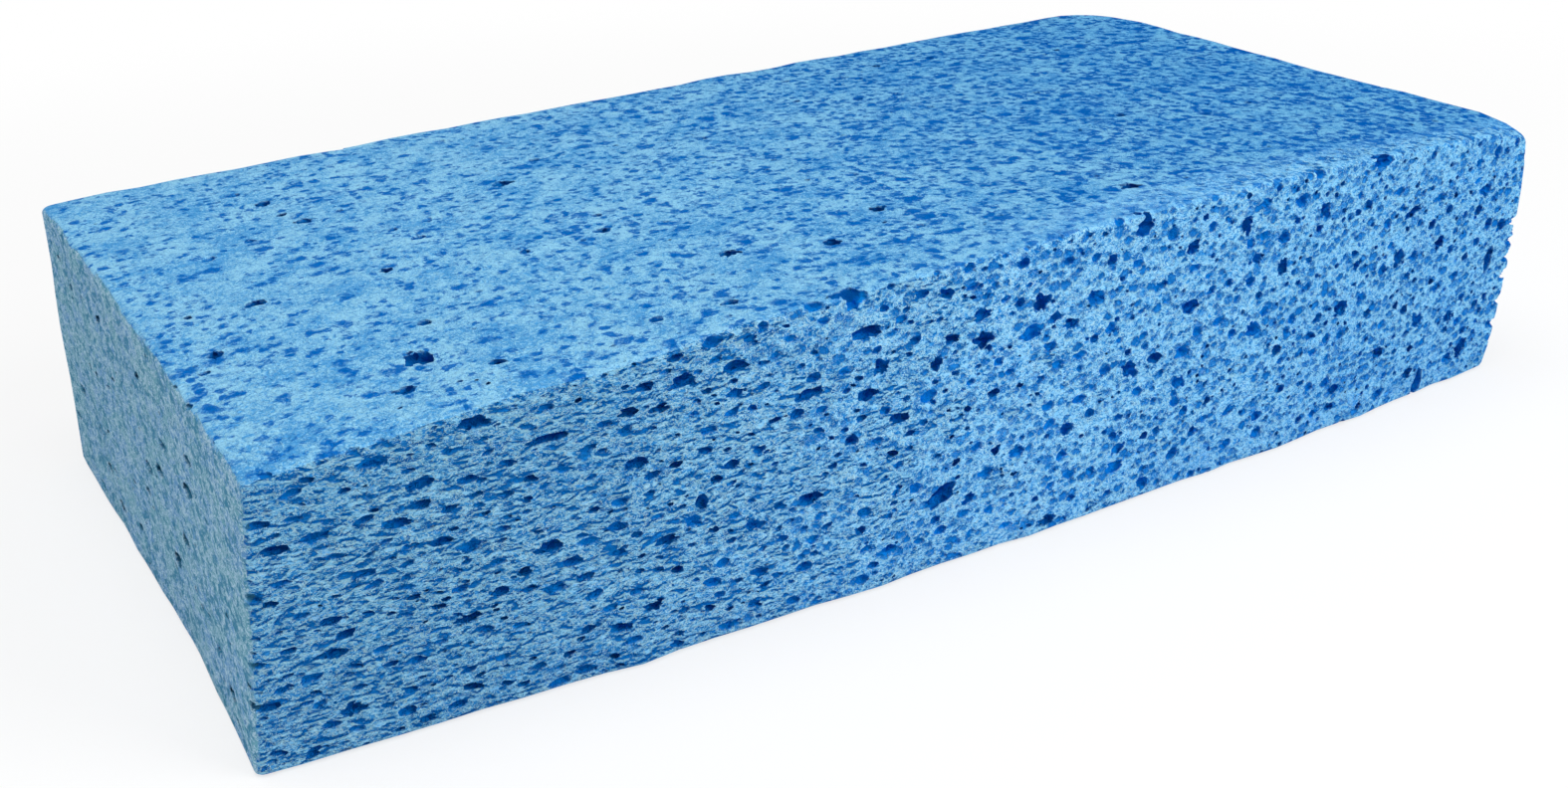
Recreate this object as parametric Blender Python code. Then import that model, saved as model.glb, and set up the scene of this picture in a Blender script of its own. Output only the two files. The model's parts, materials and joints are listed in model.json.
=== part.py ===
"""Cellulose boat sponge: one block of blue cellulose foam with open pores in every face.

The foam is cast as a slab, cut into blocks with a blade and dried. Cutting opens the gas bubbles
that it passes through, and drying pulls the block out of square: the front side bows out, its two
corners sink, and the right end stays thicker than the left.
Units are metres, +Z is up, +X runs along the length, and the front long side faces -Y.
"""
import math
import random

import bmesh
import bpy
from mathutils import Euler, Matrix, Vector

# The cut block
LENGTH = 0.200
WIDTH = 0.100
HEIGHT = 0.0425

# What drying did to it
FRONT_BOW = 0.0040
FRONT_CORNER_SAG = 0.0047
BACK_CORNER_SAG = 0.0004
RIGHT_RISE = 0.0056
FRONT_LEAN = 0.0024
END_LEAN = 0.0010
LEFT_HOLLOW = 0.0008
RIGHT_SWELL = 0.0018
SOFT_CORNER_DROP = 0.0022
SOFT_CORNER_LENGTH = 0.0140
SOFT_CORNER_WIDTH = 0.0100
CENTRING = (RIGHT_SWELL - END_LEAN / 2) / 2

# Edges and corners
EDGE_RADIUS = 0.0008
NEAR_LEFT_RADIUS = 0.0010
NEAR_RIGHT_RADIUS = 0.0025
FAR_LEFT_RADIUS = 0.0020
FAR_RIGHT_RADIUS = 0.0130
SLICE_SPACING = 0.0100

# Pores: the bubbles that the blade opened
PORE_SEED = 11
PORE_JITTER = 0.14
PORE_WALL = 0.0007
SHOWN_PORE_SINK = 0.20
LEAST_PORE_SINK = -0.25
MOST_PORE_SINK = 0.30
FLAT_PORE = (0.0028, 0.0011)
ROUND_PORE = (0.0018, 0.0016)
SKIN_PORE = (0.0017, 0.0014)
PORE_SPREAD = 0.60
SIDE_MARGIN = 0.03
TRIES_PER_PORE = 12
RESTING_SPOT = 0.010
FINE_PORE = 0.0030

FOAM_COLOUR = (0.115, 0.385, 0.700, 1.0)
FOAM_ROUGHNESS = 0.95

# The biggest pores in sight on the front side: share of the length, share of the height,
# width, height and slant in degrees.
FRONT_PORES = (
    (0.09, 0.76, 0.0026, 0.0013, 0),
    (0.12, 0.96, 0.0036, 0.0016, 0),
    (0.16, 0.84, 0.0052, 0.0012, 4),
    (0.21, 0.68, 0.0030, 0.0018, 0),
    (0.25, 0.49, 0.0022, 0.0020, 0),
    (0.05, 0.15, 0.0030, 0.0016, 0),
    (0.13, 0.40, 0.0026, 0.0014, 0),
    (0.24, 0.89, 0.0034, 0.0018, 8),
    (0.36, 0.87, 0.0046, 0.0018, 0),
    (0.37, 0.75, 0.0024, 0.0022, 0),
    (0.32, 0.73, 0.0042, 0.0014, 12),
    (0.35, 0.54, 0.0024, 0.0018, 0),
    (0.42, 0.26, 0.0056, 0.0026, 28),
    (0.41, 0.71, 0.0022, 0.0024, 0),
    (0.445, 0.74, 0.0036, 0.0028, 0),
    (0.46, 0.36, 0.0022, 0.0020, 0),
    (0.49, 0.81, 0.0030, 0.0030, 30),
    (0.52, 0.35, 0.0024, 0.0022, 0),
    (0.575, 0.96, 0.0038, 0.0034, 40),
    (0.57, 0.49, 0.0026, 0.0024, 0),
    (0.62, 0.85, 0.0024, 0.0022, 0),
    (0.67, 0.88, 0.0026, 0.0026, 0),
    (0.71, 0.70, 0.0024, 0.0028, 0),
    (0.75, 0.86, 0.0022, 0.0024, 0),
    (0.78, 0.48, 0.0028, 0.0026, 0),
    (0.81, 0.98, 0.0050, 0.0022, 0),
    (0.84, 0.61, 0.0026, 0.0026, 0),
    (0.85, 0.77, 0.0042, 0.0018, 20),
    (0.89, 0.62, 0.0028, 0.0022, 0),
    (0.90, 0.05, 0.0026, 0.0056, 0),
    (0.92, 0.30, 0.0024, 0.0022, 0),
    (0.95, 0.14, 0.0030, 0.0032, 0),
    (0.96, 0.50, 0.0022, 0.0048, 0),
)

# Bubbles that left a notch in the near right corner: share of the height, width, height.
CORNER_NOTCHES = (
    (0.92, 0.0022, 0.0014),
    (0.61, 0.0032, 0.0020),
    (0.50, 0.0034, 0.0026),
    (0.38, 0.0026, 0.0018),
    (0.30, 0.0030, 0.0022),
    (0.12, 0.0028, 0.0024),
)

# The biggest pores in sight on the top: share of the length, share of the width, length, width.
TOP_PORES = (
    (0.12, 0.16, 0.0034, 0.0038),
    (0.13, 0.80, 0.0026, 0.0022),
    (0.07, 0.44, 0.0024, 0.0022),
    (0.14, 0.69, 0.0026, 0.0022),
    (0.28, 0.66, 0.0032, 0.0026),
    (0.14, 0.25, 0.0022, 0.0020),
    (0.03, 0.32, 0.0022, 0.0022),
    (0.10, 0.09, 0.0026, 0.0022),
    (0.29, 0.39, 0.0024, 0.0020),
    (0.33, 0.21, 0.0030, 0.0024),
    (0.39, 0.16, 0.0026, 0.0026),
    (0.29, 0.07, 0.0024, 0.0020),
    (0.35, 0.01, 0.0036, 0.0030),
    (0.45, 0.23, 0.0030, 0.0024),
    (0.61, 0.10, 0.0034, 0.0024),
)

# Which way each side faces
SIDES = {
    "front": "-Y",
    "back": "+Y",
    "left": "-X",
    "right": "+X",
    "top": "+Z",
    "bottom": "-Z",
}

# How many pores the seeded scatter lays on each side
SCATTER = {
    "front": 90,
    "back": 40,
    "left": 14,
    "right": 18,
    "top": 20,
    "bottom": 10,
}


def closeness(gap, reach):
    """1 at no distance at all, falling to 0 at a distance of reach."""
    return max(0.0, 1 - gap / reach)


def dried(point):
    """Where a point of the square-cut block lies once the block has dried."""
    along = point.x / LENGTH + 0.5
    across = point.y / WIDTH + 0.5
    up = point.z / HEIGHT
    bow = 1 - (2 * along - 1) ** 2
    hollow = 1 - (2 * across - 1) ** 2
    sag = FRONT_CORNER_SAG * (1 - across) + BACK_CORNER_SAG * across
    swell = 4 * up * (1 - up)
    corner = closeness(LENGTH / 2 - point.x, SOFT_CORNER_LENGTH)
    corner *= closeness(WIDTH / 2 + point.y, SOFT_CORNER_WIDTH)
    height = HEIGHT - sag * (1 - bow) + RIGHT_RISE * (along - 0.5) - SOFT_CORNER_DROP * corner**2
    x = point.x + END_LEAN * (1 - up) * (2 * along - 1)
    x += LEFT_HOLLOW * up * hollow * (1 - along) + RIGHT_SWELL * swell * along - CENTRING
    y = point.y + (FRONT_LEAN * (1 - up) - FRONT_BOW * bow) * (1 - across) + FRONT_BOW / 2
    return Vector((x, y, height * up))


def bevel_edges(mesh, chosen, radius, segments):
    edges = [edge for edge in mesh.edges if chosen(edge)]
    bmesh.ops.bevel(
        mesh, geom=edges, offset=radius, segments=segments, profile=0.5, affect="EDGES"
    )


def corner_test(side_x, side_y):
    """Picks the upright edge at one corner of the plan."""

    def chosen(edge):
        ends = [vert.co for vert in edge.verts]
        upright = abs(ends[0].z - ends[1].z) > HEIGHT / 2
        return upright and all(co.x * side_x > 0 and co.y * side_y > 0 for co in ends)

    return chosen


def on_rim(edge):
    """True for the edges that run round the top and the bottom."""
    ends = [vert.co.z for vert in edge.verts]
    level = abs(ends[0] - ends[1]) < EDGE_RADIUS / 10
    return level and len({round(face.normal.z) for face in edge.link_faces}) == 2


def slice_block(mesh, axis, size, start):
    """Cuts the block across one axis, so that it can bend there when it dries."""
    count = max(2, round(size / SLICE_SPACING))
    normal = Vector([float(i == axis) for i in range(3)])
    for step in range(1, count):
        everything = mesh.verts[:] + mesh.edges[:] + mesh.faces[:]
        place = normal * (start + size * step / count)
        bmesh.ops.bisect_plane(mesh, geom=everything, plane_co=place, plane_no=normal)


def make_block():
    """The dried block before its pores: a cube with rounded corners, sliced and pulled out of square."""
    mesh = bmesh.new()
    bmesh.ops.create_cube(mesh, size=1.0)
    bmesh.ops.scale(mesh, vec=(LENGTH, WIDTH, HEIGHT), verts=mesh.verts)
    bmesh.ops.translate(mesh, vec=(0, 0, HEIGHT / 2), verts=mesh.verts)
    bevel_edges(mesh, corner_test(-1, -1), NEAR_LEFT_RADIUS, 2)
    bevel_edges(mesh, corner_test(1, -1), NEAR_RIGHT_RADIUS, 2)
    bevel_edges(mesh, corner_test(-1, 1), FAR_LEFT_RADIUS, 2)
    bevel_edges(mesh, corner_test(1, 1), FAR_RIGHT_RADIUS, 4)
    mesh.normal_update()
    bevel_edges(mesh, on_rim, EDGE_RADIUS, 1)
    slice_block(mesh, 0, LENGTH, -LENGTH / 2)
    slice_block(mesh, 1, WIDTH, -WIDTH / 2)
    slice_block(mesh, 2, HEIGHT, 0.0)
    for vert in mesh.verts:
        vert.co = dried(vert.co)
    bmesh.ops.triangulate(mesh, faces=mesh.faces[:])
    return mesh


def facing(side):
    """The axis that a side faces along, and the unit vector out of the block there."""
    sign, letter = SIDES[side]
    axis = "XYZ".index(letter)
    out = Vector((0, 0, 0))
    out[axis] = 1.0 if sign == "+" else -1.0
    return axis, out


def on_side(side, first, second):
    """A place on one side of the square-cut block, in shares of its two edges."""
    axis, out = facing(side)
    shares = [first, second]
    shares.insert(axis, (1 + out[axis]) / 2)
    corner = Vector((-LENGTH / 2, -WIDTH / 2, 0))
    return corner + Vector((LENGTH, WIDTH, HEIGHT)) * Vector(shares)


def make_pore(side, first, second, wide, tall, slant=0.0, sink=SHOWN_PORE_SINK):
    """One bubble: its centre, its half sizes along X, Y and Z, and its turn about the way out.

    Sink is how far its centre lies inside the foam, as a share of its depth. Below 0 the blade
    took more than half of the bubble away.
    """
    axis, out = facing(side)
    deep = (wide + tall) / 2
    sizes = [wide / 2, tall / 2]
    sizes.insert(axis, deep / 2)
    centre = dried(on_side(side, first, second)) - out * deep * sink
    return centre, Vector(sizes), Matrix.Rotation(math.radians(slant), 3, out)


def make_notch(share, wide, tall):
    """One bubble with its centre on the rounded corner between the front and the right end."""
    shift = NEAR_RIGHT_RADIUS * (1 - math.sqrt(0.5))
    corner = Vector((LENGTH / 2 - shift, shift - WIDTH / 2, HEIGHT * share))
    return dried(corner), Vector((wide, wide, tall)) / 2, Matrix.Identity(3)


def clear_of(pore, others):
    """True where a bubble leaves a wall of foam between itself and the others."""
    for other in others:
        apart = pore[0] - other[0]
        sizes = (pore[1] + other[1]) * (1 + PORE_JITTER)
        if sum((gap / (size + PORE_WALL)) ** 2 for gap, size in zip(apart, sizes)) < 1:
            return False
    return True


def pore_size(side, along, rng):
    """Flat bubbles in layers at the left, rounder ones to the right, small ones in the skins."""
    if side in ("top", "bottom"):
        size = Vector(SKIN_PORE)
    else:
        size = Vector(FLAT_PORE).lerp(Vector(ROUND_PORE), along)
    return size * (1 + PORE_SPREAD * rng.random() ** 2)


def scatter_pore(side, rng):
    """A pore anywhere on one side."""
    first = rng.uniform(SIDE_MARGIN, 1 - SIDE_MARGIN)
    second = rng.uniform(SIDE_MARGIN, 1 - SIDE_MARGIN)
    along = {"left": 0.0, "right": 1.0}.get(side, first)
    sink = rng.uniform(LEAST_PORE_SINK, MOST_PORE_SINK)
    return make_pore(side, first, second, *pore_size(side, along, rng), sink=sink)


def lay_pores():
    """The pores in sight first, then a seeded scatter on every side."""
    rng = random.Random(PORE_SEED)
    pores = []
    for numbers in FRONT_PORES:
        pores.append(make_pore("front", *numbers))
    for numbers in TOP_PORES:
        pores.append(make_pore("top", *numbers))
    for numbers in CORNER_NOTCHES:
        pores.append(make_notch(*numbers))
    pores = [pore for place, pore in enumerate(pores) if clear_of(pore, pores[:place])]
    for side, count in SCATTER.items():
        tries = [scatter_pore(side, rng) for _ in range(count * TRIES_PER_PORE)]
        wanted = len(pores) + count
        for pore in tries:
            under = side == "bottom" and pore[0].xy.length < RESTING_SPOT
            if len(pores) < wanted and not under and clear_of(pore, pores):
                pores.append(pore)
    return pores


def add_bubble(mesh, pore, rng):
    """A sphere, finer for a large pore, dented at random and squashed to the pore's sizes."""
    centre, sizes, turn = pore
    subdivisions = 2 if 2 * sum(sizes) / 3 > FINE_PORE else 1
    place = Matrix.Translation(centre) @ turn.to_4x4() @ Matrix.Diagonal(sizes.to_4d())
    made = bmesh.ops.create_icosphere(mesh, subdivisions=subdivisions, radius=1.0)
    tumble = Euler([rng.uniform(0, math.pi) for _ in range(3)]).to_matrix()
    for vert in made["verts"]:
        uneven = tumble @ vert.co * (1 + rng.uniform(-PORE_JITTER, PORE_JITTER))
        vert.co = place @ uneven


def make_bubbles():
    """All the bubbles as one cutter."""
    rng = random.Random(PORE_SEED)
    mesh = bmesh.new()
    for pore in lay_pores():
        add_bubble(mesh, pore, rng)
    return mesh


def foam_material():
    material = bpy.data.materials.new("cellulose foam")
    material.use_nodes = True
    shader = material.node_tree.nodes["Principled BSDF"]
    shader.inputs["Base Color"].default_value = FOAM_COLOUR
    shader.inputs["Roughness"].default_value = FOAM_ROUGHNESS
    shader.inputs["Metallic"].default_value = 0.0
    material.diffuse_color = FOAM_COLOUR
    return material


def add_object(name, mesh, collection):
    data = bpy.data.meshes.new(name)
    mesh.to_mesh(data)
    mesh.free()
    made = bpy.data.objects.new(name, data)
    collection.objects.link(made)
    return made


def new_collection(name):
    collection = bpy.data.collections.new(name)
    bpy.context.scene.collection.children.link(collection)
    return collection


def main():
    for old in list(bpy.data.objects):
        bpy.data.objects.remove(old, do_unlink=True)
    parts = new_collection("cellulose boat sponge")
    cutters = new_collection("cutters")
    cutters.hide_render = True

    bubbles = add_object("pore_bubbles", make_bubbles(), cutters)
    bubbles.hide_render = True
    bubbles.display_type = "WIRE"

    sponge = add_object("sponge_block", make_block(), parts)
    sponge.data.materials.append(foam_material())
    opening = sponge.modifiers.new("open the pores", "BOOLEAN")
    opening.operation = "DIFFERENCE"
    opening.solver = "EXACT"
    opening.object = bubbles


main()
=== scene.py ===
# %% [markdown]
# # A cellulose boat sponge
#
# The real object is one block of blue cellulose foam. The foam is cast as a slab full of gas
# bubbles, cut into blocks with a blade and dried. The blade opens the bubbles it passes through,
# and they are the pores we see. This lesson makes the block the same way: a plain cut block,
# pulled out of square as it dries, opened by thousands of bubbles, and finished with a foam
# material. Everything is in metres, in the same frame as the fixed CAD model, which is loaded
# first and never changed.

# %% Load the fixed frame
import json
import math
import random

import bpy
import numpy as np
from mathutils import Matrix, Vector, noise
from mathutils.bvhtree import BVHTree

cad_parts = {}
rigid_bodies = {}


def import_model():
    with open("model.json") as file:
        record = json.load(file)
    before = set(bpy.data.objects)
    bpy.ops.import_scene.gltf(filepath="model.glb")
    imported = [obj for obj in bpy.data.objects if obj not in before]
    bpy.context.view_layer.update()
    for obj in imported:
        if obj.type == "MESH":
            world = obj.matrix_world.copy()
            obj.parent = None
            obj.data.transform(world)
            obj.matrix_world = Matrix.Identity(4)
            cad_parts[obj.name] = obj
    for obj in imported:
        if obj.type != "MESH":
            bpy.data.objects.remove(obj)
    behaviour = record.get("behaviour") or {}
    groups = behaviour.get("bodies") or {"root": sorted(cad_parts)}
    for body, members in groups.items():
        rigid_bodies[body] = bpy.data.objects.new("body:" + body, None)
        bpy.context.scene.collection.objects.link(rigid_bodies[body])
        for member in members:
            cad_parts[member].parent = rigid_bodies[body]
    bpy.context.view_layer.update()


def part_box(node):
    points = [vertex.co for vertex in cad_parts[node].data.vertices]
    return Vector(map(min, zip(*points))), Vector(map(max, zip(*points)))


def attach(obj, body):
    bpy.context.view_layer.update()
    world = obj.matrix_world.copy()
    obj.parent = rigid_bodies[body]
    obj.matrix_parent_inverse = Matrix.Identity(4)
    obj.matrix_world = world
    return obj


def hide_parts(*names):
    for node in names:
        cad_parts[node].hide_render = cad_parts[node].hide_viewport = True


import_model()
low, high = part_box("sponge_block")
print("the solid sponge runs from", tuple(low), "to", tuple(high))

# %% [markdown]
# ## The sizes of the cut block
#
# The blade leaves a rectangular block, and drying pulls it out of square. The front side bows
# out, its two corners sink, and the right end stays thicker than the left. The length, width and
# height come from the frame, less what drying added to its box: the foot of the left end leans out,
# and the right end swells most half way up, where half of its own lean is left. They could be typed
# in again, but then a new size of solid would no longer match.

# %% Sizes of the block
FRONT_BOW = 0.0040
FRONT_CORNER_SAG = 0.0047
BACK_CORNER_SAG = 0.0004
RIGHT_RISE = 0.0056
FRONT_LEAN = 0.0024
END_LEAN = 0.0010
LEFT_HOLLOW = 0.0008
RIGHT_SWELL = 0.0018
SOFT_CORNER_DROP = 0.0022
SOFT_CORNER_LENGTH = 0.0140
SOFT_CORNER_WIDTH = 0.0100
HIGHEST_RISE = 0.0022
LEFT_REACH = END_LEAN
RIGHT_REACH = RIGHT_SWELL + END_LEAN / 2
CENTRING = (RIGHT_REACH - LEFT_REACH) / 2

LENGTH = high.x - low.x - LEFT_REACH - RIGHT_REACH
WIDTH = high.y - low.y - FRONT_BOW
HEIGHT = high.z - HIGHEST_RISE
print(f"cut block {LENGTH:.3f} x {WIDTH:.3f} x {HEIGHT:.4f} m")

# %% [markdown]
# ## Helpers for modelling by operator
#
# Operators act on what is selected, so each step starts by deselecting everything and then picks
# edges by their place. Selecting by place in code keeps the script readable and repeatable, where
# stored index numbers would break as soon as a size changes.

# %% Selection helpers
def deselect():
    for item in bpy.context.selected_objects:
        item.select_set(False)


def select_edges(piece, chosen):
    """Selects the edges whose two ends pass the test, and says how many there are."""
    bpy.ops.object.mode_set(mode="EDIT")
    bpy.ops.mesh.select_mode(type="EDGE")
    bpy.ops.mesh.select_all(action="DESELECT")
    bpy.ops.object.mode_set(mode="OBJECT")
    mesh = piece.data
    count = 0
    for edge in mesh.edges:
        ends = [mesh.vertices[i].co for i in edge.vertices]
        edge.select = bool(chosen(*ends))
        count += edge.select
    bpy.ops.object.mode_set(mode="EDIT")
    return count


def corners_of(mesh):
    """All the vertices of a mesh as rows of x, y and z."""
    flat = np.empty(3 * len(mesh.vertices))
    mesh.vertices.foreach_get("co", flat)
    return flat.reshape(-1, 3)


def move_corners(mesh, points):
    mesh.vertices.foreach_set("co", np.ascontiguousarray(points, np.float64).ravel())
    mesh.update()


# %% [markdown]
# ## The cut block
#
# A cube at the block's size is the start. Its upright corners are bevelled first, each with its
# own radius, because the far right corner of the real block is well rounded and the near left one
# is crisp. Then the rims of the top and bottom get a small bevel, as a blade leaves them. Last,
# the block is bisected into slices a few millimetres thick, so that it has points to bend with.

# %% Cut the block
EDGE_RADIUS = 0.0007
CORNER_RADII = {
    (-1, -1): 0.0010,
    (1, -1): 0.0025,
    (-1, 1): 0.0020,
    (1, 1): 0.0130,
}
CORNER_STEPS = 6
EDGE_STEPS = 3
SLICE = 0.0048
SLACK = 1e-6
RADIUS_SLACK = 0.05


def upright_at(side_x, side_y):
    """A test for the upright edge in one corner of the block."""

    def chosen(first, second):
        upright = abs(first.z - second.z) > HEIGHT / 2
        there = all(end.x * side_x > 0 and end.y * side_y > 0 for end in (first, second))
        return upright and there

    return chosen


def on_rim(first, second):
    """True for an edge that lies on the outline of the top or of the bottom."""
    level = abs(first.z - second.z) < EDGE_RADIUS / 10
    outer = [
        max(abs(end.x) / LENGTH, abs(end.y) / WIDTH) > 0.5 - SLACK or near_corner(end)
        for end in (first, second)
    ]
    return level and all(outer)


def near_corner(point):
    """True where a point lies on one of the rounded upright corners."""
    for (side_x, side_y), radius in CORNER_RADII.items():
        centre = Vector((side_x * (LENGTH / 2 - radius), side_y * (WIDTH / 2 - radius)))
        away = point.xy - centre
        outside = away.x * side_x > -SLACK and away.y * side_y > -SLACK
        if outside and abs(away.length - radius) < radius * RADIUS_SLACK:
            return True
    return False


def slice_block(axis, size, start):
    """Bisects the block across one axis, into slices of about the same thickness."""
    count = max(2, round(size / SLICE))
    normal = [float(i == axis) for i in range(3)]
    for step in range(1, count):
        place = [start + size * step / count if i == axis else 0.0 for i in range(3)]
        bpy.ops.mesh.select_all(action="SELECT")
        bpy.ops.mesh.bisect(plane_co=place, plane_no=normal)


def cut_block():
    deselect()
    bpy.ops.mesh.primitive_cube_add(size=1, location=(0, 0, HEIGHT / 2))
    block = bpy.context.object
    block.name = "sponge"
    block.scale = (LENGTH, WIDTH, HEIGHT)
    bpy.ops.object.transform_apply(location=True, rotation=False, scale=True)
    for corner, radius in CORNER_RADII.items():
        select_edges(block, upright_at(*corner))
        bpy.ops.mesh.bevel(offset=radius, segments=CORNER_STEPS, affect="EDGES")
        bpy.ops.object.mode_set(mode="OBJECT")
    rim = select_edges(block, on_rim)
    print("rim edges:", rim)
    bpy.ops.mesh.bevel(offset=EDGE_RADIUS, segments=EDGE_STEPS, affect="EDGES")
    slice_block(0, LENGTH, -LENGTH / 2)
    slice_block(1, WIDTH, -WIDTH / 2)
    slice_block(2, HEIGHT, 0.0)
    bpy.ops.object.mode_set(mode="OBJECT")
    return block


block = cut_block()
print("cut block:", len(block.data.polygons), "faces")

# %% [markdown]
# ## Drying
#
# Drying moves every point a little, by a rule that depends on where the point lies along, across
# and up the block. A lattice could do the same by hand, but a formula says what each part of the
# change is. The foot of the near left corner also swells out a little. A slow, low noise is added,
# because a blade never leaves wet foam flat: it is strongest at the foot of the long sides, which
# is ragged on the real block. The underside stays flat, because the block rests on it. Blender
# seeds its noise vectors from the clock, so they get a fixed seed before they are used.

# %% Dry the block
FOAM_SEED = 11
FOOT_SWELL = 0.0014
FOOT_LENGTH = 0.035
WAVE_SIZE = 0.009
WAVE_HEIGHT = 0.00030
RAGGED_FOOT = 2.0


def closeness(gap, reach):
    """1 at no distance at all, falling to 0 at a distance of reach."""
    return np.clip(1 - gap / reach, 0, None)


def dried(points):
    """Where points of the square-cut block lie once the block has dried."""
    x, y, z = np.asarray(points, float).T
    along = x / LENGTH + 0.5
    across = y / WIDTH + 0.5
    up = z / HEIGHT
    bow = 1 - (2 * along - 1) ** 2
    hollow = 1 - (2 * across - 1) ** 2
    sag = FRONT_CORNER_SAG * (1 - across) + BACK_CORNER_SAG * across
    swell = 4 * up * (1 - up)
    corner = closeness(LENGTH / 2 - x, SOFT_CORNER_LENGTH)
    corner *= closeness(WIDTH / 2 + y, SOFT_CORNER_WIDTH)
    height = HEIGHT - sag * (1 - bow) + RIGHT_RISE * (along - 0.5) - SOFT_CORNER_DROP * corner**2
    lean = END_LEAN * (1 - up) * (2 * along - 1) + LEFT_HOLLOW * up * hollow * (1 - along)
    lean += RIGHT_SWELL * swell * along - CENTRING
    foot = closeness(LENGTH / 2 + x, FOOT_LENGTH) * closeness(WIDTH / 2 + y, FOOT_LENGTH) * (1 - up)
    lean -= FOOT_SWELL * foot
    shift = (FRONT_LEAN * (1 - up) - FRONT_BOW * bow) * (1 - across) + FRONT_BOW / 2
    return np.stack([x + lean, y + shift, height * up], axis=1)


def waves(points):
    """A slow noise for each point. Near the foot it moves points across more, and up less."""
    moves = [noise.noise_vector(Vector(point) / WAVE_SIZE) for point in points]
    moves = np.array([tuple(move) for move in moves]) * WAVE_HEIGHT
    up = np.clip(points[:, 2] / WAVE_SIZE, 0, 1)
    moves[:, 1] *= 1 + RAGGED_FOOT * (1 - up)
    moves[:, 2] *= up
    return moves


noise.seed_set(FOAM_SEED)
points = dried(corners_of(block.data))
move_corners(block.data, points + waves(points))
print("dried block box:", points.min(0).round(4), points.max(0).round(4))

# %% [markdown]
# ## One bubble
#
# A bubble starts as an ico sphere, because its points are spread evenly. Gas bubbles in foam
# aren't perfect balls, and their walls tear, so each copy is later dented by noise and its corners
# are moved in and out at random. Large pores get a fine sphere and the many small ones a coarse
# sphere, which keeps the finished block within its budget of triangles.

# %% Model the bubbles
def ball(subdivisions):
    """The corners and triangles of an ico sphere of radius 1, made by its operator."""
    deselect()
    bpy.ops.mesh.primitive_ico_sphere_add(subdivisions=subdivisions, radius=1)
    made = bpy.context.object
    corners = corners_of(made.data)
    faces = np.array([face.vertices[:] for face in made.data.polygons])
    bpy.data.objects.remove(made)
    return corners, faces


COARSE, MEDIUM, FINE = 1, 2, 3
BALLS = {level: ball(level) for level in (COARSE, MEDIUM, FINE)}
print("ball faces:", {level: len(faces) for level, (_, faces) in BALLS.items()})

# %% [markdown]
# ## Where the large pores are
#
# The pores that catch the eye in the photograph are listed, as shares of the side they are on.
# A seeded scatter adds the rest, so they are the same every time. Near the left end the bubbles
# were pressed flat into layers, and towards the right they stayed round. The solid model lays its
# pores by the same values and the same draws, so both have the same large pores.

# %% The pores in sight
# share of the length, share of the height, width, height, slant in degrees
FRONT_PORES = (
    (0.09, 0.76, 0.0026, 0.0013, 0),
    (0.12, 0.96, 0.0036, 0.0016, 0),
    (0.16, 0.84, 0.0052, 0.0012, 4),
    (0.21, 0.68, 0.0030, 0.0018, 0),
    (0.25, 0.49, 0.0022, 0.0020, 0),
    (0.05, 0.15, 0.0030, 0.0016, 0),
    (0.13, 0.40, 0.0026, 0.0014, 0),
    (0.24, 0.89, 0.0034, 0.0018, 8),
    (0.36, 0.87, 0.0046, 0.0018, 0),
    (0.37, 0.75, 0.0024, 0.0022, 0),
    (0.32, 0.73, 0.0042, 0.0014, 12),
    (0.35, 0.54, 0.0024, 0.0018, 0),
    (0.42, 0.26, 0.0056, 0.0026, 28),
    (0.41, 0.71, 0.0022, 0.0024, 0),
    (0.445, 0.74, 0.0036, 0.0028, 0),
    (0.46, 0.36, 0.0022, 0.0020, 0),
    (0.49, 0.81, 0.0030, 0.0030, 30),
    (0.52, 0.35, 0.0024, 0.0022, 0),
    (0.575, 0.96, 0.0038, 0.0034, 40),
    (0.57, 0.49, 0.0026, 0.0024, 0),
    (0.62, 0.85, 0.0024, 0.0022, 0),
    (0.67, 0.88, 0.0026, 0.0026, 0),
    (0.71, 0.70, 0.0024, 0.0028, 0),
    (0.75, 0.86, 0.0022, 0.0024, 0),
    (0.78, 0.48, 0.0028, 0.0026, 0),
    (0.81, 0.98, 0.0050, 0.0022, 0),
    (0.84, 0.61, 0.0026, 0.0026, 0),
    (0.85, 0.77, 0.0042, 0.0018, 20),
    (0.89, 0.62, 0.0028, 0.0022, 0),
    (0.90, 0.05, 0.0026, 0.0056, 0),
    (0.92, 0.30, 0.0024, 0.0022, 0),
    (0.95, 0.14, 0.0030, 0.0032, 0),
    (0.96, 0.50, 0.0022, 0.0048, 0),
)

# share of the length, share of the width, length, width
TOP_PORES = (
    (0.12, 0.16, 0.0034, 0.0038),
    (0.13, 0.80, 0.0026, 0.0022),
    (0.07, 0.44, 0.0024, 0.0022),
    (0.14, 0.69, 0.0026, 0.0022),
    (0.28, 0.66, 0.0032, 0.0026),
    (0.14, 0.25, 0.0022, 0.0020),
    (0.03, 0.32, 0.0022, 0.0022),
    (0.10, 0.09, 0.0026, 0.0022),
    (0.29, 0.39, 0.0024, 0.0020),
    (0.33, 0.21, 0.0030, 0.0024),
    (0.39, 0.16, 0.0026, 0.0026),
    (0.29, 0.07, 0.0024, 0.0020),
    (0.35, 0.01, 0.0036, 0.0030),
    (0.45, 0.23, 0.0030, 0.0024),
    (0.61, 0.10, 0.0034, 0.0024),
)

# share of the height, width and height of the notches in the near right corner
CORNER_NOTCHES = (
    (0.92, 0.0022, 0.0014),
    (0.61, 0.0032, 0.0020),
    (0.50, 0.0034, 0.0026),
    (0.38, 0.0026, 0.0018),
    (0.30, 0.0030, 0.0022),
    (0.12, 0.0028, 0.0024),
)
by_hand = {"front": len(FRONT_PORES), "top": len(TOP_PORES), "corner": len(CORNER_NOTCHES)}
print("placed by hand:", by_hand)

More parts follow.
